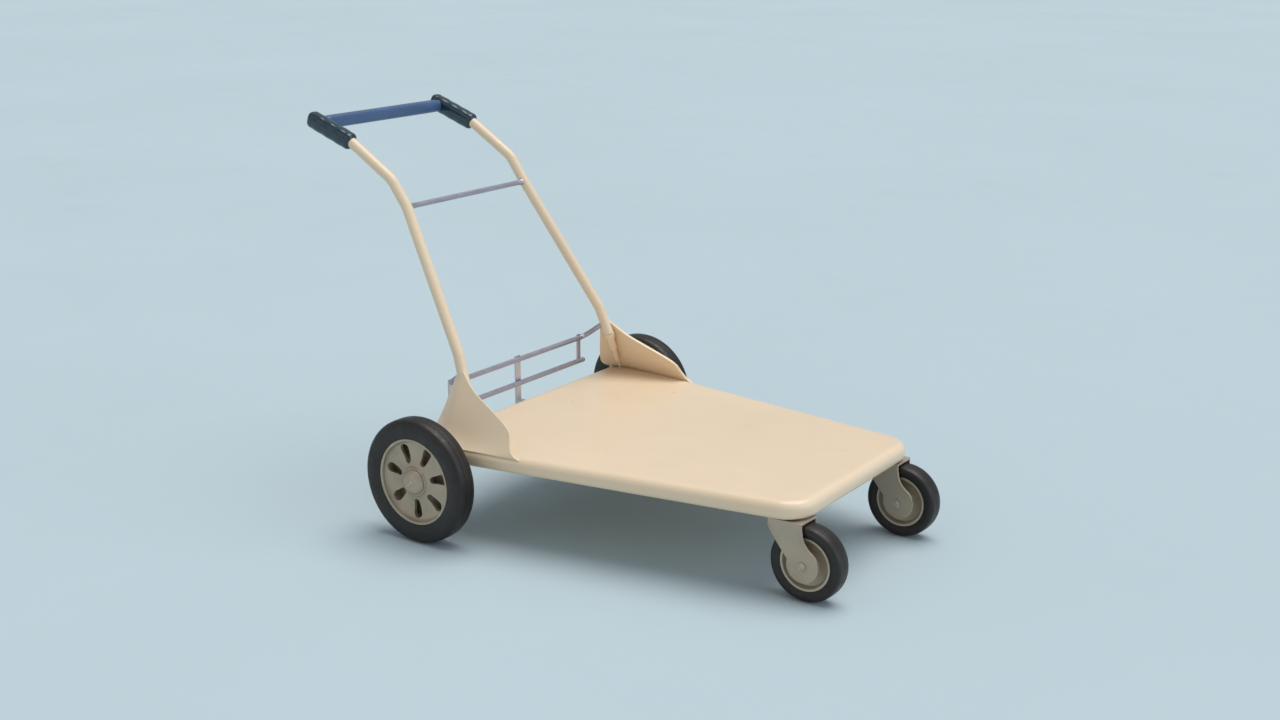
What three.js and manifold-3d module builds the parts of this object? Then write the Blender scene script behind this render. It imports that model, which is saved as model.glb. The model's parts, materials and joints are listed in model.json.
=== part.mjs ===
// Airport luggage trolley: pressed deck, two rear wheels, two swivel casters, push handle.
// Millimetres, +Z up, +X towards the casters, +Y to the left, origin on the ground.
import * as THREE from 'three';
import { mergeVertices } from 'three/addons/utils/BufferGeometryUtils.js';
import Module from 'manifold-3d';

const wasm = await Module();
wasm.setup();

// ---- driving dimensions ----
const GAP = 0.3; // between pieces that touch
const RUNNING = 3; // beside anything that turns

const deckLength = 901;
const deckRearOverhang = 48; // behind the rear axle
const deckRearHalf = 388;
const deckFrontHalf = 250;
const deckSkirt = 38;
const deckWall = 2.5;
const deckEdgeRadius = 14;
const landRise = 0.6; // load area, pressed up between the wings
const landInset = 60;
const beamWall = 2.5;
const deckFrontCorner = 67;
const deckRearCorner = 25;

const axleHeight = 140; // also the rear wheel radius
const axleRadius = 10;
const bracketInset = 80; // axle bracket, in from the edge of the deck
const bracketWall = 8;
const bracketHalf = 34;
const bracketNose = 24;
const axleShoulder = 13;
const hubHalf = 20;
const bearingWidth = 12;
const bearingRadius = 21;
const rimRadius = 97;
const rimWidth = 44;
const tyreWidth = 52;
const hubRadius = 32;
const hubBore = 17;
const discWall = 7;
const backWall = 3; // plate that closes the back of the rim
const rimSlots = 7;
const wheelBeside = 8; // from the widest point of the deck to a rear tyre
const trackOuter = deckRearHalf + wheelBeside + tyreWidth; // outer face of the rear tyres

const casterSetback = 47; // swivel axis, behind the front of the deck
const casterInset = 43; // and in from its side edge
const casterX = deckLength - deckRearOverhang - casterSetback;
const casterTrail = 47;
const casterRadius = 81;
const casterTread = 45;
const casterRimRadius = 57;
const kingpinRadius = 6;
const forkWall = 4;
const crownWall = 5;
const crownTop = 2 * casterRadius + crownWall + 2.5;
const deckRide = 40.5; // deck top above the fork crowns
const deckTop = crownTop + deckRide;
const swivelGap = 0.5;
const swivelHeight = 10;
const swivelRadius = 22;
const cheekRadius = 36;
const boltRadius = 5;
const casterHubHalf = 21;
const casterBearing = 14; // radius
const casterBearingWidth = 9.5;
const casterRimHalf = 19;
const forkRear = -34; // crown of the fork, from the swivel axis
const forkFront = 44;
const forkCrown = 18;

const sheet = 7; // wing plate
const wingInset = 3; // front of the wing's foot, in from the edge of the deck
const wingLean = Math.atan(0.487); // top leans inwards
const wingFlangeTurn = THREE.MathUtils.degToRad(35);
const wingCreaseX = 3;
const wingRearX = -46;
const wingFrontX = 200;
const wingHeight = 145;

const tubeRadius = 12.5;
const tubeWall = 2;
const uprightFoot = 108; // above the deck
const uprightFootX = 8;
const uprightKink = 176; // first bend, above the deck
const uprightKinkX = -17;
const uprightKinkY = 264;
const uprightBendX = -246; // bend towards the grips
const uprightBendHeight = 747;
const rodRadius = 6;
const bendRadius = 60;
const handleHalf = 212;
const handleHeight = 861;
const handleRearX = -476;
const handleFrontX = -366;
const handleRise = 40; // from the front of a grip to its rear
const crossbarHeight = 688;
const crossbarX = -203.5;

const rackX = -56;
const rackUpperZ = deckTop + 96;
const rackLowerZ = deckTop + 37;
const rackEndZ = deckTop + 135;
const rackHalf = 250;
const rackEndX = -2; // ends of the upper rail, in the wings
const rackEndY = 269;
const rackBend = 25;
const rackCornerOut = 6; // its corners stand outside the lower rail
const postWidth = 18;
const postThick = 4;

const gripLength = 138;
const gripWidth = 34;
const gripHeight = 40;
const barHeight = 30;
const barDepth = 28;
const coreRadius = 7;

// Facets round each wheel: whole numbers of four, so that a corner meets the ground.
const wheelSegments = 28;
const casterSegments = 20;

// ---- finishes ----
const finish = (color, roughness, metalness) => () =>
  new THREE.MeshStandardMaterial({ color, roughness, metalness });
const creamPaint = finish(0xf0dfc2, 0.35, 0.0);
const greyMetal = finish(0xa09ba5, 0.4, 0.7);
const castMetal = finish(0x9c9080, 0.5, 0.5);
const steel = finish(0x8f9296, 0.35, 0.9);
const rubber = finish(0x1d1a18, 0.7, 0.0);
const tealGrip = finish(0x0a2d37, 0.25, 0.0);
const bluePaint = finish(0x41618f, 0.35, 0.1);

// ---- shape helpers ----
function toSolid(geometry) {
  const bare = geometry.clone();
  bare.deleteAttribute('normal');
  bare.deleteAttribute('uv');
  const merged = mergeVertices(bare.index ? bare.toNonIndexed() : bare, 1e-3);
  return new wasm.Manifold(new wasm.Mesh({
    numProp: 3,
    vertProperties: new Float32Array(merged.attributes.position.array),
    triVerts: new Uint32Array(merged.index.array),
  }));
}

function toGeometry(solid) {
  const mesh = solid.getMesh();
  const geometry = new THREE.BufferGeometry();
  geometry.setAttribute('position', new THREE.BufferAttribute(mesh.vertProperties, 3));
  geometry.setIndex(new THREE.BufferAttribute(mesh.triVerts, 1));
  const flat = geometry.toNonIndexed();
  flat.computeVertexNormals();
  return flat;
}

function cut(geometry, ...tools) {
  return toGeometry(tools.reduce((solid, tool) => solid.subtract(toSolid(tool)), toSolid(geometry)));
}

function join(geometry, ...others) {
  return toGeometry(others.reduce((solid, other) => solid.add(toSolid(other)), toSolid(geometry)));
}

function overlap(a, b) {
  return toGeometry(toSolid(a).intersect(toSolid(b)));
}

// A cut right through a thin edge leaves an offcut: only the main body stays.
function trim(geometry, ...tools) {
  const bodies = toSolid(cut(geometry, ...tools)).decompose();
  return toGeometry(bodies.reduce((main, body) => (body.volume() > main.volume() ? body : main)));
}

function box(x0, x1, y0, y1, z0, z1) {
  return new THREE.BoxGeometry(x1 - x0, y1 - y0, z1 - z0)
    .translate((x0 + x1) / 2, (y0 + y1) / 2, (z0 + z1) / 2);
}

const onZ = (geometry) => geometry.rotateX(Math.PI / 2);
const cylinder = (radius, length, sides = 20) =>
  new THREE.CylinderGeometry(radius, radius, length, sides);

// A body of revolution about Y from [radius, y] corners, in the order that faces outwards.
function turned(corners, segments) {
  const points = corners.map(([r, y]) => new THREE.Vector2(r, y));
  if (points[0].x > 0) points.push(points[0].clone());
  return new THREE.LatheGeometry(points, segments);
}

const ring = (inner, outer, width, segments = 20) => turned(
  [[inner, -width / 2], [outer, -width / 2], [outer, width / 2], [inner, width / 2]], segments);

// Side view outline in X and Z, extruded across Y from y0 to y1.
function acrossY(shape, y0, y1, curveSegments = 6) {
  return new THREE.ExtrudeGeometry(shape, { depth: y1 - y0, bevelEnabled: false, curveSegments })
    .rotateX(Math.PI / 2).translate(0, y1, 0);
}

function circleShape(radius, holeRadius = 0) {
  const shape = new THREE.Shape().absarc(0, 0, radius, 0, 2 * Math.PI);
  if (holeRadius > 0) shape.holes.push(new THREE.Path().absarc(0, 0, holeRadius, 0, 2 * Math.PI));
  return shape;
}

// A route of straight runs joined by arcs; its stations fall only where it turns.
class BentRoute extends THREE.Curve {
  constructor(corners, radius) {
    super();
    const points = corners.map((corner) => new THREE.Vector3(...corner));
    this.stations = [points[0]];
    for (let i = 1; i < points.length - 1; i += 1) {
      const before = points[i - 1].clone().sub(points[i]).normalize();
      const after = points[i + 1].clone().sub(points[i]).normalize();
      const turn = Math.PI - before.angleTo(after);
      const reach = Math.min(radius * Math.tan(turn / 2), 0.45 * points[i].distanceTo(points[i - 1]),
        0.45 * points[i].distanceTo(points[i + 1]));
      const bend = new THREE.QuadraticBezierCurve3(before.multiplyScalar(reach).add(points[i]),
        points[i], after.multiplyScalar(reach).add(points[i]));
      this.stations.push(...bend.getPoints(Math.max(2, Math.ceil(turn / 0.35))));
    }
    this.stations.push(points[points.length - 1]);
  }

  getPoint(t, target = new THREE.Vector3()) {
    const place = t * (this.stations.length - 1);
    const index = Math.min(Math.floor(place), this.stations.length - 2);
    return target.lerpVectors(this.stations[index], this.stations[index + 1], place - index);
  }

  getPointAt(u, target) {
    return this.getPoint(u, target);
  }

  getTangentAt(u, target = new THREE.Vector3()) {
    const index = Math.round(u * (this.stations.length - 1));
    const last = this.stations.length - 1;
    const ahead = this.stations[Math.min(index + 1, last)];
    const behind = this.stations[Math.max(index - 1, 0)];
    return target.subVectors(ahead, behind).normalize();
  }
}

function bentTube(corners, radius, holeRadius = 0, bend = bendRadius) {
  const route = new BentRoute(corners, bend);
  return new THREE.ExtrudeGeometry(circleShape(radius, holeRadius), {
    steps: route.stations.length - 1, extrudePath: route, bevelEnabled: false,
    curveSegments: radius > 10 ? 6 : 4,
  });
}

const trolley = new THREE.Group();

function add(parent, name, geometry, material, x = 0, y = 0, z = 0) {
  const mesh = new THREE.Mesh(geometry, material());
  mesh.name = name;
  mesh.position.set(x, y, z);
  parent.add(mesh);
  return mesh;
}

const sides = [['left', 1], ['right', -1]];

// ---- deck: a pressed tray, wide at the rear, with a rolled edge and an open underside ----
const deckRearX = -deckRearOverhang;
const deckFrontX = deckRearX + deckLength;
const deckUnder = deckTop - deckWall;
const deckLip = deckTop - deckSkirt;

function deckHalfAt(x) {
  return THREE.MathUtils.mapLinear(x, deckRearX, deckFrontX, deckRearHalf, deckFrontHalf);
}
const casterY = deckHalfAt(casterX) - casterInset;
const bracketY = deckHalfAt(0) - bracketInset;

function deckBlock(inset, edgeRadius, top, depth = 2 * deckSkirt) {
  const taper = Math.atan((deckRearHalf - deckFrontHalf) / deckLength);
  const front = Math.max(deckFrontCorner - inset, 8);
  const rear = Math.max(deckRearCorner - inset, 8);
  const frontX = deckFrontX - inset - front;
  const rearX = deckRearX + inset + rear;
  const sideInset = inset / Math.cos(taper);
  const frontY = deckHalfAt(frontX) - sideInset - front / Math.cos(taper);
  const rearY = deckHalfAt(rearX) - sideInset - rear / Math.cos(taper);
  const side = Math.PI / 2 - taper;
  const shape = new THREE.Shape();
  shape.absarc(frontX, -frontY, front, -side, 0);
  shape.absarc(frontX, frontY, front, 0, side);
  shape.absarc(rearX, rearY, rear, side, Math.PI);
  shape.absarc(rearX, -rearY, rear, Math.PI, 2 * Math.PI - side);
  shape.closePath();
  return new THREE.ExtrudeGeometry(shape, {
    depth, curveSegments: 4, bevelSegments: 2,
    bevelThickness: edgeRadius, bevelSize: edgeRadius, bevelOffset: -edgeRadius,
  }).translate(0, 0, top - edgeRadius - depth);
}

const belowDeck = box(deckRearX - 50, deckFrontX + 50, -2 * deckRearHalf, 2 * deckRearHalf,
  deckTop - 5 * deckSkirt, deckLip);
const tray = cut(deckBlock(0, deckEdgeRadius, deckTop),
  deckBlock(deckWall, deckEdgeRadius - deckWall, deckUnder), belowDeck);
add(trolley, 'deck',
  join(tray, deckBlock(landInset, 0.3, deckTop + landRise, deckWall / 2)), creamPaint);

// ---- beams under the deck ----
const beamTop = deckUnder - GAP;
const bossRadius = 23;
const bossBottom = crownTop + swivelGap + swivelHeight + GAP;
const crossHalfDepth = 25;
const crossFrontX = casterX - crossHalfDepth;
const stringerY = 120;
const stringerHalf = 15;
const beamBottom = bossBottom + 4;
const crossHalf = casterY - bossRadius - GAP;
add(trolley, 'front_crossmember', cut(
  box(crossFrontX, casterX + crossHalfDepth, -crossHalf, crossHalf, beamBottom, beamTop),
  box(crossFrontX + beamWall, casterX + crossHalfDepth - beamWall, -2 * crossHalf, 2 * crossHalf,
    beamBottom + beamWall, beamTop - beamWall),
), greyMetal);
for (const [side, sign] of sides) {
  const centre = sign * stringerY;
  add(trolley, `stringer_${side}`, cut(
    box(deckRearX + deckEdgeRadius + GAP, crossFrontX - GAP, centre - stringerHalf,
      centre + stringerHalf, beamBottom, beamTop),
    box(deckRearX, crossFrontX + 1, centre - stringerHalf + beamWall,
      centre + stringerHalf - beamWall, beamBottom + beamWall, beamTop - beamWall),
  ), greyMetal);
}

// ---- rear axle and its brackets ----
const wheelY = trackOuter - tyreWidth / 2;
const hubInnerY = wheelY - hubHalf;
const axleEnd = wheelY + hubHalf + 7;
add(trolley, 'rear_axle', turned([
  [0, -axleEnd], [axleRadius, -axleEnd], [axleRadius, -hubInnerY], [axleShoulder, -hubInnerY],
  [axleShoulder, hubInnerY], [axleRadius, hubInnerY], [axleRadius, axleEnd], [0, axleEnd],
], 20), steel, 0, 0, axleHeight);

function bracketShape() {
  const shape = new THREE.Shape();
  shape.moveTo(-bracketHalf, beamTop);
  shape.lineTo(bracketHalf, beamTop);
  shape.lineTo(bracketHalf, beamTop - 12);
  shape.absarc(0, axleHeight, bracketNose, 0, Math.PI, true);
  shape.lineTo(-bracketHalf, beamTop - 12);
  shape.holes.push(new THREE.Path().absarc(0, axleHeight, axleShoulder + GAP, 0, 2 * Math.PI));
  return shape;
}
for (const [side, sign] of sides) {
  add(trolley, `axle_bracket_${side}`, acrossY(bracketShape(),
    sign * bracketY - bracketWall / 2, sign * bracketY + bracketWall / 2, 16), greyMetal);
}

// ---- rear wheels: slotted cast rim, solid tyre, two bearings, nut and domed cap ----
function rearRim() {
  const half = rimWidth / 2;
  const well = rimRadius - 7;
  const seat = bearingRadius + GAP;
  const shoulder = hubHalf - bearingWidth - GAP;
  const blank = turned([
    [seat, -hubHalf], [hubRadius, -hubHalf], [hubRadius, discWall - 2], [well - 28, -1], [well, 3],
    [well, -half], [rimRadius, -half], [rimRadius, half], [well, half],
    [well, 3 + discWall], [well - 28, discWall - 1], [hubRadius + 3, discWall + 3],
    [hubRadius - 2, hubHalf], [seat, hubHalf], [seat, shoulder], [hubBore, shoulder],
    [hubBore, -shoulder], [seat, -shoulder],
  ], wheelSegments);
  const slots = Array.from({ length: rimSlots }, (_, i) => {
    const slot = new THREE.Shape();
    slot.absarc(rimRadius - 22, 0, 11, -Math.PI / 2, Math.PI / 2);
    slot.absarc(hubRadius + 17, 0, 7, Math.PI / 2, 1.5 * Math.PI);
    const turn = Math.PI / 2 + (i * 2 * Math.PI) / rimSlots;
    return acrossY(slot, 2 * backWall - half, hubHalf, 3).rotateY(turn);
  });
  const back = ring(hubRadius - 1, well + 1, backWall, wheelSegments)
    .translate(0, backWall / 2 - half + 2, 0);
  return cut(join(blank, back), ...slots);
}

function tyre(inner, outer, half, bead, crown, segments) {
  const rise = outer - inner;
  const wall = [[inner + GAP, bead], [inner + 0.4 * rise, half], [outer - 0.24 * rise, half - 1],
    [outer - 0.05 * rise, crown + 0.55 * (half - crown)], [outer, crown]];
  const lower = wall.map(([r, y]) => [r, -y]);
  return turned([...lower, ...wall.reverse()], segments);
}

function nut(cornerRadius, bore, length) {
  return cut(cylinder(cornerRadius, length, 6), cylinder(bore, 2 * length, 16));
}

function capShell() {
  const foot = hubHalf + GAP;
  return turned([[0, foot + 10], [17, foot + 8], [24, foot], [hubRadius - 4, foot],
    [hubRadius - 5, foot + 6], [18, foot + 12], [0, foot + 14]], 24);
}

for (const [side, sign] of sides) {
  const wheel = new THREE.Group();
  wheel.position.set(0, sign * wheelY, axleHeight);
  wheel.rotation.z = sign > 0 ? 0 : Math.PI;
  trolley.add(wheel);
  add(wheel, `rear_rim_${side}`, rearRim(), castMetal);
  add(wheel, `rear_tyre_${side}`,
    tyre(rimRadius, axleHeight, tyreWidth / 2, rimWidth / 2, 8, wheelSegments), rubber);
  const bearingY = hubHalf - bearingWidth / 2;
  for (const [place, y] of [['inner', -bearingY], ['outer', bearingY]]) {
    add(wheel, `rear_bearing_${place}_${side}`,
      ring(axleRadius + GAP, bearingRadius, bearingWidth, 16), steel, 0, y, 0);
  }
  add(wheel, `rear_axle_nut_${side}`, nut(16, axleRadius + GAP, 6), steel, 0, hubHalf + GAP + 3, 0);
  add(wheel, `rear_hub_cap_${side}`, capShell(), castMetal);
}

// ---- casters: boss, kingpin, swivel ring, fork and wheel ----
const forkInner = casterTread / 2 + RUNNING + 1.5;
const forkOuter = forkInner + forkWall;
const crownUnder = crownTop - crownWall;

function forkSide() {
  const shape = new THREE.Shape();
  const neck = THREE.MathUtils.degToRad(50);
  const heel = THREE.MathUtils.degToRad(165);
  shape.moveTo(forkRear, crownTop);
  shape.lineTo(forkFront, crownTop);
  shape.lineTo(forkFront, crownTop - forkCrown);
  shape.quadraticCurveTo(forkFront, casterRadius + cheekRadius + 8,
    casterTrail + cheekRadius * Math.cos(neck), casterRadius + cheekRadius * Math.sin(neck));
  shape.absarc(casterTrail, casterRadius, cheekRadius, neck, heel, true);
  shape.lineTo(forkRear, crownTop - forkCrown);
  return shape;
}

function fork() {
  const between = box(-200, 200, -forkInner, forkInner, -10, crownUnder);
  const pinHole = onZ(cylinder(kingpinRadius + swivelGap, 60)).translate(0, 0, crownTop);
  const axleHole = cylinder(boltRadius + GAP, 3 * forkOuter)
    .translate(casterTrail, 0, casterRadius);
  return cut(acrossY(forkSide(), -forkOuter, forkOuter), between, pinHole, axleHole);
}

function casterRim() {
  const seat = casterBearing + GAP;
  const shoulder = casterHubHalf - casterBearingWidth - 0.5;
  const half = [
    [seat, shoulder], [seat, casterHubHalf], [22, casterHubHalf], [26, 9],
    [casterRimRadius - 9, 8], [casterRimRadius - 5, casterRimHalf],
    [casterRimRadius, casterRimHalf],
  ];
  const lower = half.map(([r, y]) => [r, -y]);
  return turned([[casterBearing - 4, -shoulder], ...lower, ...half.reverse(),
    [casterBearing - 4, shoulder]], casterSegments);
}

for (const [side, sign] of sides) {
  const y = sign * casterY;
  const bossHeight = beamTop - bossBottom;
  add(trolley, `caster_boss_${side}`, onZ(ring(kingpinRadius + GAP, bossRadius, bossHeight)),
    greyMetal, casterX, y, bossBottom + bossHeight / 2);
  add(trolley, `swivel_bearing_${side}`, onZ(ring(kingpinRadius + GAP, swivelRadius, swivelHeight)),
    steel, casterX, y, crownTop + swivelGap + swivelHeight / 2);
  const pinBottom = crownUnder - 9;
  add(trolley, `kingpin_${side}`, onZ(cylinder(kingpinRadius, beamTop - pinBottom, 16)),
    steel, casterX, y, (beamTop + pinBottom) / 2);
  add(trolley, `kingpin_nut_${side}`, onZ(nut(10, kingpinRadius + GAP, 6)),
    steel, casterX, y, crownUnder - swivelGap - 3);

  const caster = new THREE.Group();
  caster.position.set(casterX, y, 0);
  trolley.add(caster);
  add(caster, `caster_fork_${side}`, fork(), castMetal);
  const hardware = new THREE.Group();
  hardware.position.set(casterTrail, 0, casterRadius);
  hardware.rotation.z = sign > 0 ? 0 : Math.PI;
  caster.add(hardware);
  const headFoot = forkOuter + GAP;
  add(hardware, `caster_bolt_${side}`, turned([[0, -headFoot - 8], [boltRadius, -headFoot - 8],
    [boltRadius, headFoot], [9, headFoot], [8, headFoot + 4], [0, headFoot + 5]], 16), castMetal);
  add(hardware, `caster_nut_${side}`, nut(9, boltRadius + GAP, 6), steel, 0, -headFoot - 3, 0);
  add(hardware, `caster_rim_${side}`, casterRim(), castMetal);
  add(hardware, `caster_tyre_${side}`,
    tyre(casterRimRadius, casterRadius, casterTread / 2, casterRimHalf, 6, casterSegments), rubber);
  for (const [place, turn] of [['inner', -1], ['outer', 1]]) {
    add(hardware, `caster_bearing_${place}_${side}`,
      ring(boltRadius + GAP, casterBearing, casterBearingWidth, 14),
      steel, 0, turn * (casterHubHalf - casterBearingWidth / 2), 0);
  }
}

// ---- side wings and the bent handle tubes that stand in them ----
const footZ = deckTop + GAP;
const wingFootY = deckHalfAt(wingFrontX) - wingInset; // outer face at the deck
const uprightFootZ = deckTop + uprightFoot;

function wingFaceY(z) {
  return wingFootY - (z - deckTop) * Math.tan(wingLean);
}

function uprightRoute(sign) {
  const seat = (sheet + tubeRadius) / Math.cos(wingLean) + GAP;
  return [
    [uprightFootX, sign * (wingFaceY(uprightFootZ) - seat), uprightFootZ],
    [uprightKinkX, sign * uprightKinkY, deckTop + uprightKink],
    [crossbarX, sign * (handleHalf - 1), crossbarHeight],
    [uprightBendX, sign * handleHalf, uprightBendHeight],
    [handleFrontX, sign * handleHalf, handleHeight - handleRise],
    [handleRearX, sign * handleHalf, handleHeight],
  ];
}

function railRoute() {
  const cornerY = rackHalf + rackCornerOut;
  return [[rackEndX, -rackEndY, rackEndZ], [rackX, -cornerY, rackUpperZ],
    [rackX, cornerY, rackUpperZ], [rackEndX, rackEndY, rackEndZ]];
}

const uprightSpace = (sign) => bentTube(uprightRoute(sign), tubeRadius + GAP);

function bentSheet(sign) {
  const cos = Math.cos(wingFlangeTurn);
  const sin = Math.sin(wingFlangeTurn);
  const inner = sheet * Math.tan(wingFlangeTurn / 2);
  const back = 110;
  const profile = new THREE.Shape();
  profile.moveTo(230, 0);
  profile.lineTo(15, 0);
  profile.quadraticCurveTo(0, 0, -15 * cos, -sign * 15 * sin);
  profile.lineTo(-back * cos, -sign * back * sin);
  profile.lineTo(-back * cos + sheet * sin, -sign * (back * sin + sheet * cos));
  profile.lineTo(inner - 10 * cos, -sign * (sheet + 10 * sin));
  profile.quadraticCurveTo(inner, -sign * sheet, inner + 10, -sign * sheet);
  profile.lineTo(230, -sign * sheet);
  return new THREE.ExtrudeGeometry(profile, { depth: 320, bevelEnabled: false, curveSegments: 4 })
    .translate(0, 0, -80).rotateX(sign * wingLean).translate(wingCreaseX, sign * wingFootY, deckTop);
}

function wingOutline() {
  const shape = new THREE.Shape();
  shape.moveTo(wingRearX, footZ);
  shape.lineTo(-35, deckTop + 52);
  shape.lineTo(-12, deckTop + wingHeight - 10);
  shape.lineTo(0, deckTop + wingHeight);
  shape.quadraticCurveTo(28, deckTop + 110, 85, deckTop + 91);
  shape.lineTo(wingFrontX - 50, deckTop + 60);
  shape.quadraticCurveTo(wingFrontX - 26, deckTop + 48, wingFrontX - 20, deckTop + 31);
  shape.quadraticCurveTo(wingFrontX - 15, deckTop + 12, wingFrontX, footZ);
  return shape;
}

for (const [side, sign] of sides) {
  const plate = overlap(bentSheet(sign), acrossY(wingOutline(), -500, 500));
  add(trolley, `wing_${side}`,
    trim(plate, uprightSpace(sign), bentTube(railRoute(), rodRadius + GAP, 0, rackBend)), creamPaint);
  add(trolley, `upright_${side}`,
    bentTube(uprightRoute(sign), tubeRadius, tubeRadius - tubeWall), creamPaint);
}

// ---- cross bar and the rear rack ----
const uprightSpaces = () => sides.map(([, sign]) => uprightSpace(sign));
add(trolley, 'cross_bar', cut(cylinder(rodRadius, 2 * (handleHalf - 1), 12)
  .translate(crossbarX, 0, crossbarHeight), ...uprightSpaces()), greyMetal);
add(trolley, 'rack_upper_rail',
  cut(bentTube(railRoute(), rodRadius, 0, rackBend), ...uprightSpaces()), greyMetal);
add(trolley, 'rack_lower_rail', cylinder(rodRadius, 2 * rackHalf, 12), greyMetal, rackX, 0, rackLowerZ);
const postFrontX = rackX - rodRadius - GAP;
const postBackX = postFrontX - postThick;
add(trolley, 'rack_centre_post', join(
  box(postBackX, postFrontX, -postWidth / 2, postWidth / 2, deckLip + 4, rackUpperZ + rodRadius),
  box(postBackX, deckRearX - GAP, -postWidth / 2, postWidth / 2, deckLip + 4, deckUnder - 4),
), greyMetal);
for (const [side, sign] of sides) {
  const centre = sign * (rackHalf - postWidth / 2);
  add(trolley, `rack_end_post_${side}`, box(postBackX, postFrontX, centre - postWidth / 3,
    centre + postWidth / 3, rackLowerZ - rodRadius, rackUpperZ + rodRadius), greyMetal);
}

// ---- handle: two grips on the tube ends and a bar on a core rod between them ----
const gripSlope = Math.atan2(handleRise, handleFrontX - handleRearX);
const gripOvershoot = 19;
const coreInset = coreRadius + 3;
const alongGrip = (distance) => [handleRearX + distance * Math.cos(gripSlope),
  handleHeight - distance * Math.sin(gripSlope)];
const [coreX, coreZ] = alongGrip(coreInset);

function roundedRect(width, height, radius) {
  const x = width / 2 - radius;
  const y = height / 2 - radius;
  const shape = new THREE.Shape();
  shape.absarc(x, y, radius, 0, Math.PI / 2);
  shape.absarc(-x, y, radius, Math.PI / 2, Math.PI);
  shape.absarc(-x, -y, radius, Math.PI, 1.5 * Math.PI);
  shape.absarc(x, -y, radius, 1.5 * Math.PI, 2 * Math.PI);
  return shape;
}

const gripBevel = 9;
for (const [side, sign] of sides) {
  const [gripX, gripZ] = alongGrip(gripLength / 2 - gripOvershoot);
  const sleeve = new THREE.ExtrudeGeometry(roundedRect(gripHeight, gripWidth, 15), {
    depth: gripLength - 2 * gripBevel, curveSegments: 3, bevelSegments: 2,
    bevelThickness: gripBevel, bevelSize: 7, bevelOffset: -7,
  }).translate(0, 0, gripBevel - gripLength / 2).rotateY(gripSlope - Math.PI / 2)
    .translate(gripX, sign * handleHalf, gripZ);
  const coreSpace = cylinder(coreRadius + GAP, 2 * handleHalf).translate(coreX, 0, coreZ);
  add(trolley, `grip_${side}`, cut(sleeve, uprightSpace(sign), coreSpace), tealGrip);
}
const barHalf = handleHalf - gripWidth / 2 - GAP;
const bar = new THREE.ExtrudeGeometry(roundedRect(barDepth, barHeight, 11),
  { depth: 2 * barHalf, bevelEnabled: false, curveSegments: 4 })
  .rotateX(Math.PI / 2).translate(coreX, barHalf, coreZ);
add(trolley, 'handle_bar',
  cut(bar, cylinder(coreRadius + GAP, 4 * handleHalf).translate(coreX, 0, coreZ)), bluePaint);
add(trolley, 'handle_core', cut(cylinder(coreRadius, 2 * handleHalf).translate(coreX, 0, coreZ),
  ...uprightSpaces()), steel);

// ---- put the origin on the ground under the middle of the whole trolley ----
const extent = new THREE.Box3().setFromObject(trolley);
trolley.position.x = -(extent.min.x + extent.max.x) / 2;

export default trolley;
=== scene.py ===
"""The looks of an airport luggage trolley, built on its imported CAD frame."""
import json
import math
import bmesh
import bpy
from mathutils import Matrix, Vector


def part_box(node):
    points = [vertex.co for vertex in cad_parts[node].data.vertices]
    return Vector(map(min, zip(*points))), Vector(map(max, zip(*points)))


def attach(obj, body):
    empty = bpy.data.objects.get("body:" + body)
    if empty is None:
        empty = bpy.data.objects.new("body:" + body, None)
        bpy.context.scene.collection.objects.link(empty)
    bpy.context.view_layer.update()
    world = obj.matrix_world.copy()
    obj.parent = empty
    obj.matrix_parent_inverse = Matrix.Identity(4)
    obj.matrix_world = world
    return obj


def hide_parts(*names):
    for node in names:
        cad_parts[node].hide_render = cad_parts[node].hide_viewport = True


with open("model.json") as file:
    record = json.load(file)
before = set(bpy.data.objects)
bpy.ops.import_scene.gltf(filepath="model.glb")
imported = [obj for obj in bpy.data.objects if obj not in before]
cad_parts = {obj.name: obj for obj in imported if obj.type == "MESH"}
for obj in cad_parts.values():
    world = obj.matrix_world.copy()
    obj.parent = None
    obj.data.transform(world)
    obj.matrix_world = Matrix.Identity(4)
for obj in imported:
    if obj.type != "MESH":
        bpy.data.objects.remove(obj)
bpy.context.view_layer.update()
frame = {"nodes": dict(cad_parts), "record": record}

MM = 0.001
SIDES = (("left", 1), ("right", -1))


def span(node):
    """Lowest corner, highest corner and middle of a CAD node."""
    low, high = (Vector(corner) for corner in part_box(node))
    return low, high, (low + high) / 2


deck_low, deck_high, _ = span("deck")
AXLE_X = span("rear_axle")[2].x


def at(x, y, z):
    """A point from millimetres ahead of the rear axle, to the left and above the ground."""
    return Vector((AXLE_X + x * MM, y * MM, z * MM))


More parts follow.
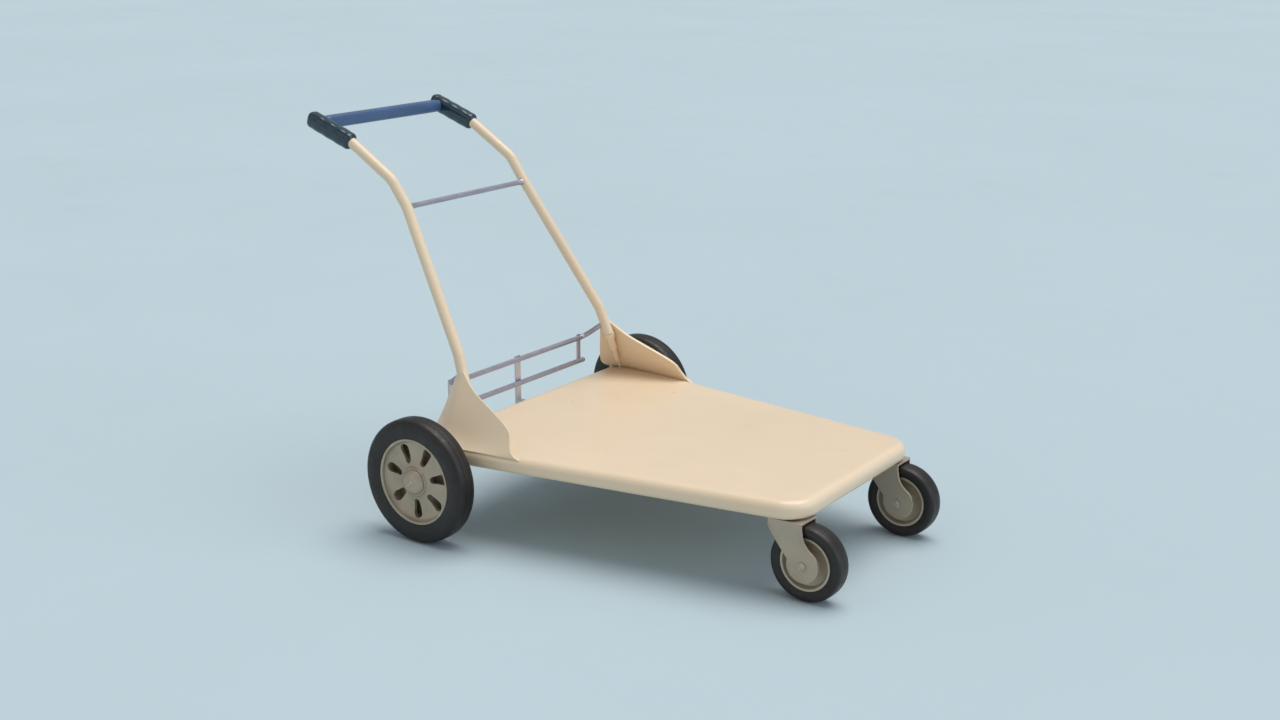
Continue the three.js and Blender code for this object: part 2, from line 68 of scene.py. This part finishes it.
# ---------------------------------------------------------------- materials
def material(name, color, roughness, metallic=0.0, tint=0.08, patch=5.0, grain=300.0,
             depth=0.05, edge=None, dirt=0.0, coat=0.0):
    """A shader with drifting colour, uneven polish, fine relief, a painted highlight along convex
    edges, and dirt.
    """
    mat = bpy.data.materials.new(name)
    mat.use_nodes = True
    nodes, links = mat.node_tree.nodes, mat.node_tree.links
    shader = nodes["Principled BSDF"]
    shader.inputs["Metallic"].default_value = metallic
    shader.inputs["Coat Weight"].default_value = coat
    shader.inputs["Coat Roughness"].default_value = 0.12
    where = nodes.new("ShaderNodeTexCoord")

    def noise(scale, detail=4.0):
        node = nodes.new("ShaderNodeTexNoise")
        node.inputs["Scale"].default_value = scale
        node.inputs["Detail"].default_value = detail
        links.new(where.outputs["Object"], node.inputs["Vector"])
        return node.outputs["Fac"]

    def between(value, low, high, to_low, to_high):
        node = nodes.new("ShaderNodeMapRange")
        for key, number in zip(("From Min", "From Max", "To Min", "To Max"),
                               (low, high, to_low, to_high)):
            node.inputs[key].default_value = number
        links.new(value, node.inputs["Value"])
        return node.outputs["Result"]

    def mix(factor, first, second):
        node = nodes.new("ShaderNodeMix")
        node.data_type = "RGBA"
        links.new(factor, node.inputs["Factor"])
        for socket, value in ((node.inputs["A"], first), (node.inputs["B"], second)):
            if isinstance(value, tuple):
                socket.default_value = (*value, 1)
            else:
                links.new(value, socket)
        return node.outputs["Result"]

    dark = tuple(channel * (1 - tint) for channel in color)
    light = tuple(min(1.0, channel * (1 + tint)) for channel in color)
    base = mix(between(noise(patch), 0.3, 0.7, 0, 1), dark, light)
    if dirt:
        grime = tuple(channel * 0.45 for channel in color)
        base = mix(between(noise(patch * 3.1, 8), 0.58, 0.8, 0, dirt), base, grime)
    # Convex edges are mixed towards the lighter edge colour by pointiness: a painted highlight
    # along the edges.
    if edge:
        sharp = nodes.new("ShaderNodeNewGeometry").outputs["Pointiness"]
        base = mix(between(sharp, 0.53, 0.62, 0, 0.6), base, edge)
    links.new(base, shader.inputs["Base Color"])
    links.new(between(noise(patch * 7, 6), 0.3, 0.7, roughness * 0.8, roughness * 1.25),
              shader.inputs["Roughness"])
    bump = nodes.new("ShaderNodeBump")
    bump.inputs["Strength"].default_value = depth
    bump.inputs["Distance"].default_value = 0.0008
    links.new(noise(grain, 5), bump.inputs["Height"])
    links.new(bump.outputs["Normal"], shader.inputs["Normal"])
    return mat


# Each edge colour is lighter than its finish: the painted highlight along that finish's convex
# edges.
FINISHES = {
    "cream_paint": material("cream_enamel", (0.86, 0.68, 0.47), 0.34, tint=0.03, patch=2.2,
                            grain=420, depth=0.10, edge=(0.90, 0.78, 0.62), dirt=0.04, coat=0.2),
    "grey_metal": material("zinc_rod", (0.42, 0.40, 0.46), 0.34, 0.75, grain=240, depth=0.10,
                           patch=14, edge=(0.7, 0.69, 0.72), dirt=0.25),
    "cast_metal": material("cast_alloy", (0.47, 0.39, 0.29), 0.40, 0.45, grain=620, depth=0.22,
                           patch=16, edge=(0.70, 0.62, 0.50), dirt=0.35),
    "steel": material("turned_steel", (0.52, 0.53, 0.55), 0.28, 0.95, grain=500, depth=0.08,
                      patch=30, edge=(0.8, 0.8, 0.8), dirt=0.2),
    "tyre": material("tyre_rubber", (0.012, 0.0085, 0.006), 0.46, tint=0.3, patch=11, grain=520,
                     depth=0.30, edge=(0.03, 0.026, 0.022), coat=0.05),
    "grip_plastic": material("grip_moulding", (0.004, 0.030, 0.045), 0.20, tint=0.15, patch=18,
                             grain=700, depth=0.06, coat=0.5),
    "handle_paint": material("handle_coating", (0.055, 0.115, 0.235), 0.34, tint=0.10, patch=12,
                             grain=520, depth=0.10, edge=(0.2, 0.3, 0.5), coat=0.15),
}
for row in frame["record"]["subparts"]:
    slots = frame["nodes"][row["node"]].data.materials
    slots.clear()
    slots.append(FINISHES[row["material_slot"]])


# ---------------------------------------------------------------- making pieces
def soften(obj, name, width, segments, degrees):
    """Rounds the edges that are sharper than an angle."""
    mod = obj.modifiers.new(name, "BEVEL")
    mod.width = width
    mod.segments = segments
    mod.limit_method = "ANGLE"
    mod.angle_limit = math.radians(degrees)
    return mod


def piece(name, bm, slot, body, nodes=(), bevel=0.0, smooth=40):
    """Turns a bmesh into a finished piece that rides on a body and stands for CAD nodes."""
    bmesh.ops.recalc_face_normals(bm, faces=bm.faces)
    mesh = bpy.data.meshes.new(name)
    bm.to_mesh(mesh)
    bm.free()
    obj = bpy.data.objects.new(name, mesh)
    bpy.context.scene.collection.objects.link(obj)
    mesh.materials.append(FINISHES[slot])
    mesh.shade_smooth()
    mesh.set_sharp_from_angle(angle=math.radians(smooth))
    if bevel:
        soften(obj, "soft_edges", bevel, 3, 35).harden_normals = True
    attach(obj, body)
    if nodes:
        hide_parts(*nodes)
    return obj


def loft(bm, loops, closed=True, caps=True):
    """Joins loops of points with quads, each loop a ring, and caps the first and last."""
    rings = [[bm.verts.new(point) for point in loop] for loop in loops]
    count = len(rings[0])
    for first, second in zip(rings, rings[1:]):
        for i in range(count if closed else count - 1):
            j = (i + 1) % count
            bm.faces.new((first[i], first[j], second[j], second[i]))
    if caps:
        bm.faces.new(rings[0])
        bm.faces.new(rings[-1])
    return rings


def turned(bm, corners, centre, axis="Y", turn=1, steps=96):
    """A body of revolution from (radius, offset) pairs, closed on itself or on its axis."""
    pinhole = 0.02  # the smallest radius, so that a ring on the axis keeps its area
    loops = []
    for radius, offset in corners:
        loop = []
        for i in range(steps):
            a = 2 * math.pi * i / steps
            c, s = max(radius, pinhole) * MM * math.cos(a), max(radius, pinhole) * MM * math.sin(a)
            o = offset * MM * turn
            loop.append(centre + (Vector((c, o, s)) if axis == "Y" else Vector((c, s, o))))
        loops.append(loop)
    solid_axis = corners[0][0] == 0
    rings = loft(bm, loops, caps=solid_axis)
    if not solid_axis:
        for i in range(steps):
            j = (i + 1) % steps
            bm.faces.new((rings[-1][i], rings[-1][j], rings[0][j], rings[0][i]))


def lathed(name, corners, centre, slot, body, node, axis="Y", turn=1, steps=96, smooth=40):
    """A piece that is one turned body."""
    bm = bmesh.new()
    turned(bm, corners, centre, axis, turn, steps)
    piece(name, bm, slot, body, [node], smooth=smooth)


def rounded(corners, radius, steps=8):
    """A route of straight runs with each inner corner turned into a curve."""
    route = [corners[0]]
    for before, corner, after in zip(corners, corners[1:], corners[2:]):
        back, ahead = (before - corner), (after - corner)
        turn = math.pi - back.angle(ahead)
        reach = min(radius * math.tan(turn / 2), 0.45 * back.length, 0.45 * ahead.length)
        start = corner + back.normalized() * reach
        end = corner + ahead.normalized() * reach
        for i in range(steps + 1):
            t = i / steps
            route.append((1 - t) ** 2 * start + 2 * t * (1 - t) * corner + t ** 2 * end)
    return route + [corners[-1]]


def swept(bm, route, section, up=Vector((0, 0, 1)), scale=lambda t: 1.0):
    """Sweeps a section, a list of (side, up) offsets, along a route."""
    loops = []
    for i, point in enumerate(route):
        tangent = (route[min(i + 1, len(route) - 1)] - route[max(i - 1, 0)]).normalized()
        side = tangent.cross(up).normalized()
        over = side.cross(tangent)
        size = scale(i / (len(route) - 1))
        loops.append([point + (side * a + over * b) * size for a, b in section])
    loft(bm, loops)


def circle(radius, steps=32):
    return [(radius * math.cos(2 * math.pi * i / steps), radius * math.sin(2 * math.pi * i / steps))
            for i in range(steps)]


def squircle(width, height, power=3.2, steps=48):
    """A soft-cornered section."""
    points = []
    for i in range(steps):
        a = 2 * math.pi * i / steps
        c, s = math.cos(a), math.sin(a)
        points.append((width / 2 * math.copysign(abs(c) ** (2 / power), c),
                       height / 2 * math.copysign(abs(s) ** (2 / power), s)))
    return points


def slab(bm, outline, y0, y1):
    """A plate with an outline of (x, z) points in metres, from y0 to y1."""
    loft(bm, [[Vector((x, y, z)) for x, z in outline] for y in (y0, y1)])


def arc(cx, cz, radius, start, end, steps=16):
    return [(cx + radius * math.cos(math.radians(start + (end - start) * i / steps)),
             cz + radius * math.sin(math.radians(start + (end - start) * i / steps)))
            for i in range(steps + 1)]


def cut_out(bm, cutters):
    """Subtracts closed bmeshes from a bmesh with an exact boolean and gives the result."""
    objects = []
    for part in (bm, *cutters):
        bmesh.ops.recalc_face_normals(part, faces=part.faces)
        mesh = bpy.data.meshes.new("blank")
        part.to_mesh(mesh)
        part.free()
        obj = bpy.data.objects.new("blank", mesh)
        bpy.context.scene.collection.objects.link(obj)
        objects.append(obj)
    for cutter in objects[1:]:
        mod = objects[0].modifiers.new("cut", "BOOLEAN")
        mod.operation = "DIFFERENCE"
        mod.solver = "EXACT"
        mod.object = cutter
    bpy.context.view_layer.update()
    result = bmesh.new()
    result.from_object(objects[0], bpy.context.evaluated_depsgraph_get())
    for obj in objects:
        bpy.data.objects.remove(obj)
    return result


# ---------------------------------------------------------------- deck
CORNER_TRIM = 0.0042  # what the round rear corner takes off the deck's half width
FRONT_LESS = 0.1338  # how much less the half width is at the front
FRONT_CORNER, REAR_CORNER = 0.067, 0.025
LAND_RISE = 0.0006  # the CAD deck's top is this far above the edge of its tray
DECK_WALL = 0.0025
DECK_EDGE = 0.018  # radius of the roll over the edge
DECK_FLAT = 0.0245  # where the flat top starts, in from the edge


def deck_outline(inset):
    """The tapered plan of the deck, drawn in by inset, with round corners."""
    rear_half, front_half = deck_high.y + CORNER_TRIM, deck_high.y - FRONT_LESS
    length = deck_high.x - deck_low.x
    taper = math.atan((rear_half - front_half) / length)
    points = []
    for x_dir, radius in ((1, FRONT_CORNER), (-1, REAR_CORNER)):
        radius -= inset
        x = (deck_high.x if x_dir > 0 else deck_low.x) - x_dir * (inset + radius)
        edge = rear_half - (x - deck_low.x) * math.tan(taper)
        y = edge - (inset + radius) / math.cos(taper)
        lean = math.pi / 2 - taper
        start, end = (0, lean) if x_dir > 0 else (lean, math.pi)
        for i in range(15):
            a = start + (end - start) * i / 14
            points.append((x + radius * math.cos(a), y + radius * math.sin(a)))
    return points + [(x, -y) for x, y in reversed(points)]


def make_deck():
    """The pressed tray, as (inset, height) steps from the top down the skirt and back inside."""
    top, lip = deck_high.z - LAND_RISE, deck_low.z
    edge, wall = DECK_EDGE, DECK_WALL
    steps = [(DECK_FLAT, top)]
    for i in range(9):
        a = math.radians(90 * i / 8)
        steps.append((edge * (1 - math.sin(a)), top - edge * (1 - math.cos(a))))
    for i in range(1, 8):
        a = math.radians(90 * i / 7)
        steps.append((0.010 * (1 - math.cos(a)), lip + 0.012 * (1 - math.sin(a))))
    steps += [(0.0125, lip + 0.0012), (0.0130, lip + 0.004), (0.010, lip + 0.0055),
              (0.006, lip + 0.008), (wall, lip + 0.014), (wall, top - edge),
              (edge, top - wall), (DECK_FLAT, top - wall)]
    bm = bmesh.new()
    loft(bm, [[Vector((x, y, z)) for x, y in deck_outline(inset)] for inset, z in steps])
    piece("deck_tray", bm, "cream_paint", "frame", ["deck"], smooth=50)


make_deck()


# ---------------------------------------------------------------- wheels
def tyre_profile(inner, outer, half, bead):
    """Half section of a solid tyre, mirrored: bead, bulging wall, shoulder and a fine groove."""
    rise = outer - inner
    wall = [(inner + 0.2, bead), (inner + 2.5, bead + 1.2), (inner + 5, half - 2.2)]
    for i in range(7):
        a = math.radians(-30 + 20 * i)
        wall.append((inner + 0.52 * rise + 0.33 * rise * math.sin(a),
                     half - 2.4 + 2.4 * math.cos(a)))
    wall += [(outer - 0.09 * rise, half - 4.2), (outer - 0.045 * rise, half - 7),
             (outer - 0.014 * rise, half - 11), (outer - 0.5, half - 15), (outer, half - 18),
             (outer, half - 18.8), (outer - 0.9, half - 19.4), (outer, half - 20)]
    wall = [(min(r, outer), max(y, 0.5)) for r, y in wall]
    return [(r, -y) for r, y in wall] + list(reversed(wall))


RIM_SLOTS = 7


def make_rear_wheel(side, sign):
    centre = span(f"rear_rim_{side}")[2]
    body = f"rear_wheel_{side}"
    lathed(f"tyre_rear_{side}", tyre_profile(inner=97, outer=140, half=26, bead=22), centre,
           "tyre", body, f"rear_tyre_{side}", turn=sign, steps=120, smooth=35)

    bm = bmesh.new()
    turned(bm, [(22, -20), (30, -20), (32, -18.5), (33, 4), (37, 5.5), (48, 4.5), (60, 2.4),
                (72, 1.2), (82, 1.8), (88, 3), (89.5, -19), (90, -22), (96.5, -22), (97, -21),
                (97, 21), (96.5, 22), (92.5, 22), (91, 20.5), (90, 15), (87, 11.5), (80, 9.4),
                (70, 8.6), (58, 9.2), (46, 11.5), (38, 14), (34, 16), (32, 19.5), (30, 20),
                (22, 20)], centre, turn=sign, steps=112)
    cutters = []
    for i in range(RIM_SLOTS):
        outline = arc(0.0745, 0, 0.0115, -90, 90, 12) + arc(0.0490, 0, 0.0075, 90, 270, 10)
        cutter = bmesh.new()
        slab(cutter, outline, -0.03, 0.03)
        turn = Matrix.Rotation(math.pi / 2 + 2 * math.pi * i / RIM_SLOTS, 4, "Y")
        bmesh.ops.transform(cutter, matrix=Matrix.Translation(centre) @ turn, verts=cutter.verts)
        cutters.append(cutter)
    bm = cut_out(bm, cutters)
    turned(bm, [(32.3, -20), (89.3, -20), (89.3, -17), (70, -15), (45, -15), (32.3, -17)],
           centre, turn=sign)
    piece(f"rim_rear_{side}", bm, "cast_metal", body, [f"rear_rim_{side}"],
          bevel=0.0011, smooth=30)

    dome = [(0, 31), (17, 29), (25, 21.5), (28.5, 20.6), (29, 22.5), (27.6, 25.5), (23, 29.5),
            (17.5, 32.6), (12, 33.6), (9, 33.4), (8.2, 34), (0, 34.3)]
    lathed(f"cap_rear_{side}", dome, centre, "cast_metal", body, f"rear_hub_cap_{side}",
           turn=sign, smooth=35)
    for place, offset in (("inner", -14), ("outer", 14)):
        race = [(10.4, -5.5), (13, -6), (14, -5), (17, -5), (18, -6), (20.8, -5.6),
                (20.8, 5.6), (18, 6), (17, 5), (14, 5), (13, 6), (10.4, 5.5)]
        lathed(f"bearing_rear_{place}_{side}", race, centre + Vector((0, offset * sign * MM, 0)),
               "steel", body, f"rear_bearing_{place}_{side}", steps=64)


for side, sign in SIDES:
    make_rear_wheel(side, sign)

_, axle_high, axle = span("rear_axle")
reach = (axle_high.y - axle.y) / MM
step = 401.5  # half the length of the thick middle
lathed("axle_bar", [(0, -reach), (8.5, -reach), (10, -reach + 1.5), (10, -step), (12, -step),
                    (13, -step + 1), (13, step - 1), (12, step), (10, step), (10, reach - 1.5),
                    (8.5, reach), (0, reach)],
       axle, "steel", "frame", "rear_axle", steps=48)


def bowed(start, pull, end, steps):
    """The points between start and end of a curve that leans towards pull."""
    points = []
    for i in range(1, steps):
        t = i / steps
        points.append(tuple((1 - t) ** 2 * a + 2 * t * (1 - t) * b + t * t * c
                            for a, b, c in zip(start, pull, end)))
    return points


CROWN_REAR, CROWN_FRONT = 0.034, 0.044  # the fork's crown, from its swivel axis
CROWN_WALL = 0.005
CHEEK_RADIUS = 0.036
FORK_HALF, FORK_INNER = 0.031, 0.027
LIP_INSET = 0.0022  # of the raised lip down the front of the fork, from its faces
FAR = 0.3  # beyond the fork


def make_caster(side, sign):
    _, _, swivel = span(f"kingpin_{side}")
    wheel = span(f"caster_rim_{side}")[2]
    body, spin = f"caster_{side}", f"caster_wheel_{side}"
    lathed(f"tyre_front_{side}", tyre_profile(inner=57, outer=81, half=22.5, bead=19), wheel,
           "tyre", spin, f"caster_tyre_{side}", turn=sign, smooth=35)
    half = [(14.3, 21), (20, 21), (22, 20), (24, 12), (27, 9.4), (34, 8.4), (42, 8.4), (47, 10),
            (50, 15), (52, 18.5), (56.5, 19), (57, 18)]
    lathed(f"rim_front_{side}", [(r, -y) for r, y in half] + list(reversed(half)), wheel,
           "cast_metal", spin, f"caster_rim_{side}", turn=sign)

    top = span(f"caster_fork_{side}")[1].z
    x, z = swivel.x, wheel.z
    cheek = arc(wheel.x, z, CHEEK_RADIUS, 50, -195, 40)
    heel = (x - CROWN_REAR, top - 0.018)
    outline = [(x - CROWN_REAR, top), (x + CROWN_FRONT, top), (x + CROWN_FRONT, top - 0.016)]
    outline += bowed(outline[-1], (x + 0.043, z + 0.046), cheek[0], 12)
    outline += cheek
    outline += bowed(outline[-1], (x - 0.014, z + 0.040), heel, 8)
    outline.append(heel)
    bm = bmesh.new()
    slab(bm, outline, swivel.y - FORK_HALF, swivel.y + FORK_HALF)
    gap, hole, eye = bmesh.new(), bmesh.new(), bmesh.new()
    ceiling = top - CROWN_WALL
    under = [(x - FAR, -FAR), (x + FAR, -FAR), (x + FAR, ceiling), (x - FAR, ceiling)]
    slab(gap, under, swivel.y - FORK_INNER, swivel.y + FORK_INNER)
    turned(hole, [(0, -20), (6.5, -20), (6.5, 20), (0, 20)], Vector((x, swivel.y, top)), "Z")
    turned(eye, [(0, -60), (5.2, -60), (5.2, 60), (0, 60)], wheel)
    piece(f"fork_front_{side}", cut_out(bm, [gap, hole, eye]), "cast_metal", body,
          [f"caster_fork_{side}"], bevel=0.0012, smooth=30)

    for face in (-FORK_HALF + LIP_INSET, FORK_HALF - LIP_INSET):
        bm = bmesh.new()
        route = [Vector((px - 0.0012, swivel.y + face, pz)) for px, pz in outline[1:20]]
        swept(bm, route, circle(3.1 * MM, 16), up=Vector((0, 1, 0)),
              scale=lambda t: min(1.0, 6 * min(t, 1 - t) + 0.3))
        name = "outer" if face * sign > 0 else "inner"
        piece(f"fork_lip_{name}_{side}", bm, "cast_metal", body, smooth=50)

    bolt = [(0, -38.5), (4.2, -38.5), (5, -37.5), (5, 31.3), (9, 31.3), (9, 33), (8, 35.2),
            (5, 36.2), (0, 36.3)]
    lathed(f"bolt_front_{side}", bolt, wheel, "cast_metal", body, f"caster_bolt_{side}",
           turn=sign, steps=48)
    race = [(6.3, -5), (20, -5), (22, -3.5), (22, -1), (20.8, -0.5), (20.8, 0.5), (22, 1),
            (22, 3.5), (20, 5), (6.3, 5)]
    lathed(f"race_front_{side}", race, span(f"swivel_bearing_{side}")[2], "steel", "frame",
           f"swivel_bearing_{side}", "Z")
    low, high, boss = span(f"caster_boss_{side}")
    tall = (high.z - low.z) / MM / 2
    sleeve = [(6.3, -tall), (22.5, -tall), (24, -tall + 1.5), (24, tall), (6.3, tall)]
    lathed(f"boss_front_{side}", sleeve, boss, "grey_metal", "frame", f"caster_boss_{side}", "Z")
    ball_race = [(5.3, -4.7), (7.5, -4.7), (8.5, -4), (11, -4), (12, -4.7), (14, -4.7),
                 (14, 4.7), (12, 4.7), (11, 4), (8.5, 4), (7.5, 4.7), (5.3, 4.7)]
    for place in ("inner", "outer"):
        node = f"caster_bearing_{place}_{side}"
        lathed(f"bearing_front_{place}_{side}", ball_race, span(node)[2], "steel", spin, node)


for side, sign in SIDES:
    make_caster(side, sign)


# ---------------------------------------------------------------- tubes, wings and rack
# Millimetres: x ahead of the rear axle, y out from the middle, z above the ground.
DECK_TOP = 210
FOOT_Y = 347.0  # outer face of the wing at the deck
LEAN = 0.487  # how far the wing leans inwards for each unit of height
WING_FOOT, WING_TOP = 205.0, 350
WING_HALF_WALL = 3.5
CREASE_X = 2  # where the wing folds inwards
FLANGE_TURN = 0.66  # how far the flange runs inwards for each unit behind the crease
CREASE_SOFT = 4.5  # how gently it folds
FLARE = 11  # height over which its foot flares out onto the deck
TUBE_RADIUS = 12.5
TUBE_SEAT = 19.5  # wing plate and tube radius
HANDLE_HALF = 212
GRIP_FRONT, GRIP_REAR = (-366, 821), (-476, 861)  # x and z of the tube under a grip


def face_y(z):
    """Outer face of the leaning wing at a height."""
    return FOOT_Y - (z - DECK_TOP) * LEAN


def upright_corners(sign):
    """The corners of a handle tube, from the wing to the grip."""
    seat = TUBE_SEAT / math.cos(math.atan(LEAN)) + 0.3
    return [at(8, sign * (face_y(318) - seat), 318), at(-17, sign * 264, 386),
            at(-203.5, sign * 211, 688), at(-246, sign * HANDLE_HALF, 747),
            at(GRIP_FRONT[0], sign * HANDLE_HALF, GRIP_FRONT[1]),
            at(GRIP_REAR[0], sign * HANDLE_HALF, GRIP_REAR[1])]


def wing_edge(table, z):
    """The x of a wing's edge, a list of (z, x), with straight runs between its points."""
    for (z0, x0), (z1, x1) in zip(table, table[1:]):
        if z <= z1:
            return x0 + (x1 - x0) * (z - z0) / (z1 - z0)
    return table[-1][1]


FRONT_EDGE = [(205, 216), (208, 206), (212, 199), (218, 192), (228, 186), (240, 181), (250, 177),
              (258, 169), (264, 159), (270, 148), (278, 131), (287, 112), (299, 86), (308, 66),
              (318, 48), (330, 31), (341, 18), (350, 8)]
REAR_EDGE = [(205, -46), (235, -43), (262, -36), (300, -26), (335, -17), (350, -13)]


def make_wing(side, sign):
    """A pressed plate that folds inwards behind its crease and flares out onto the deck."""
    bm = bmesh.new()
    rows, columns = 44, 52
    loops = []
    for i in range(rows + 1):
        z = WING_FOOT + (WING_TOP - WING_FOOT) * (i / rows) ** 1.4
        front, rear = wing_edge(FRONT_EDGE, z), wing_edge(REAR_EDGE, z)
        loop = []
        for j in range(columns + 1):
            x = rear + (front - rear) * j / columns
            behind = math.log1p(math.exp(-(x - CREASE_X) / CREASE_SOFT)) * CREASE_SOFT
            edge = 388 - 0.1535 * (x + 48) - 5  # 5 in from the tapering side of the deck
            foot = math.exp(-(z - WING_FOOT) / FLARE)
            lean = face_y(z) - WING_HALF_WALL - FLANGE_TURN * behind
            loop.append(at(x, sign * (lean + (edge - lean) * foot), z))
        loops.append(loop)
    loft(bm, loops, closed=False, caps=False)
    obj = piece(f"plate_{side}", bm, "cream_paint", "frame", [f"wing_{side}"], smooth=60)
    thick = obj.modifiers.new("thickness", "SOLIDIFY")
    thick.thickness = 0.006
    thick.offset = 0
    soften(obj, "edges", 0.0018, 3, 40)

    bm = bmesh.new()
    swept(bm, rounded(upright_corners(sign), 60 * MM), circle(TUBE_RADIUS * MM, 40))
    # The end of the tube, pressed down to a point along the wing.
    tail = [at(8, sign * 272, 322), at(7, sign * 280, 305), at(5, sign * 296, 275),
            at(3, sign * 315, 240), at(2, sign * 328, 216)]
    swept(bm, rounded(tail, 0.2), circle(12.4 * MM, 32), scale=lambda t: (1 - t) ** 0.8 * 0.9 + 0.1)
    piece(f"tube_{side}", bm, "cream_paint", "frame", [f"upright_{side}"], smooth=40)


for side, sign in SIDES:
    make_wing(side, sign)

ROD_RADIUS = 6
_, rail_high, rail = span("rack_lower_rail")
corner = at((rail.x - AXLE_X) / MM, rail_high.y / MM + ROD_RADIUS, 306)
ends = [at(-7, 262, 342), corner]
route = [Vector((p.x, -p.y, p.z)) for p in ends] + list(reversed(ends))
bm = bmesh.new()
swept(bm, rounded(route, 28 * MM), circle(ROD_RADIUS * MM, 24))
piece("rail_upper", bm, "grey_metal", "frame", ["rack_upper_rail"], smooth=45)


def make_rod(name, node, flare):
    """A straight rod from side to side whose ends swell into their welds."""
    low, high, middle = span(node)
    start, end = Vector((middle.x, low.y, middle.z)), Vector((middle.x, high.y, middle.z))
    count = 40
    route = [start.lerp(end, i / count) for i in range(count + 1)]
    bm = bmesh.new()
    swept(bm, route, circle(ROD_RADIUS * MM, 28),
          scale=lambda t: 1 + (flare - 1) * math.exp(-min(t, 1 - t) * 70))
    piece(name, bm, "grey_metal", "frame", [node], smooth=45)


make_rod("rail_lower", "rack_lower_rail", flare=1.0)
make_rod("bar_cross", "cross_bar", flare=1.4)

# ---------------------------------------------------------------- handle
GRIP_LENGTH, GRIP_BEYOND = 0.138, 0.019  # the grip reaches beyond the end of its tube
slope = math.atan2(GRIP_REAR[1] - GRIP_FRONT[1], GRIP_FRONT[0] - GRIP_REAR[0])
along = Vector((-math.cos(slope), 0, math.sin(slope)))


def swell(t):
    """The size of a grip along its length: round ends and four shallow finger waves."""
    near, round_end = min(t, 1 - t), 0.09
    end = math.sqrt(max(0.0, 1 - (1 - near / round_end) ** 2)) if near < round_end else 1
    return (0.62 + 0.38 * end) * (0.985 + 0.015 * math.cos(t * math.pi * 8))


for side, sign in SIDES:
    start = (at(GRIP_REAR[0], sign * HANDLE_HALF, GRIP_REAR[1])
             + along * GRIP_BEYOND - along * GRIP_LENGTH)
    steps = 60
    route = [start + along * GRIP_LENGTH * i / steps for i in range(steps + 1)]
    bm = bmesh.new()
    swept(bm, route, squircle(34 * MM, 40 * MM, 2.9), scale=swell)
    piece(f"handgrip_{side}", bm, "grip_plastic", "frame", [f"grip_{side}"], smooth=60)

low, high, middle = span("handle_bar")
count = 80
route = [Vector((middle.x, low.y + (high.y - low.y) * i / count, middle.z))
         for i in range(count + 1)]
bm = bmesh.new()
swept(bm, route, squircle(28 * MM, 30 * MM, 3.4),
      scale=lambda t: 1 - 0.10 * math.exp(-min(t, 1 - t) * 60))
piece("push_bar", bm, "handle_paint", "frame", ["handle_bar"], smooth=60)

# The CAD plates and nuts that show as they are get soft edges.
for node, obj in frame["nodes"].items():
    if node.startswith(("rack_", "stringer", "front_cross", "axle_bracket")) or "nut" in node:
        soften(obj, "soft_edges", 0.0009, 2, 35)

# ---------------------------------------------------------------- stage, light and camera
FLOOR_HALF = 60
bm = bmesh.new()
loft(bm, [[Vector((x, y, 0)) for x in (-FLOOR_HALF, FLOOR_HALF)]
          for y in (-FLOOR_HALF, FLOOR_HALF)], closed=False, caps=False)
mesh = bpy.data.meshes.new("floor")
bm.to_mesh(mesh)
bm.free()
floor = bpy.data.objects.new("floor", mesh)
bpy.context.scene.collection.objects.link(floor)
mesh.materials.append(material("floor_paint", (0.50, 0.61, 0.65), 0.8, tint=0.02, patch=0.5,
                               grain=60, depth=0.02))

world = bpy.data.worlds.new("studio")
bpy.context.scene.world = world
world.use_nodes = True
background = world.node_tree.nodes["Background"]
background.inputs["Color"].default_value = (0.82, 0.90, 1.0, 1)
background.inputs["Strength"].default_value = 0.42


def light(name, place, target, energy, color, spread):
    """A distant lamp, spread degrees wide, that shines from place towards target."""
    data = bpy.data.lights.new(name, "SUN")
    data.energy = energy
    data.color = color
    data.angle = math.radians(spread)
    obj = bpy.data.objects.new(name, data)
    obj.location = place
    obj.rotation_euler = (Vector(target) - Vector(place)).to_track_quat("-Z", "Y").to_euler()
    bpy.context.scene.collection.objects.link(obj)


light("sky_key", (0.6, 0.9, 4.0), (0, 0, 0), 2.0, (1.0, 0.97, 0.94), spread=50)
light("front_cool", (3.4, 0.7, 1.1), (0.4, 0, 0.3), 0.75, (0.70, 0.80, 1.0), spread=50)
light("side_warm", (-0.6, -3.6, 1.3), (0, 0, 0.3), 0.25, (1.0, 0.86, 0.66), spread=60)

camera_data = bpy.data.cameras.new("camera")
camera_data.sensor_width = 36
camera_data.lens = 45.4
camera = bpy.data.objects.new("camera", camera_data)
azimuth, elevation = math.radians(34.81), math.radians(15.93)
looking = Vector((-math.sin(azimuth) * math.cos(elevation),
                  math.cos(azimuth) * math.cos(elevation), -math.sin(elevation)))
camera.location = at(2286, -2869, 1357)
camera.rotation_euler = looking.to_track_quat("-Z", "Y").to_euler()
bpy.context.scene.collection.objects.link(camera)
bpy.context.scene.camera = camera
bpy.context.scene.view_settings.view_transform = "Standard"
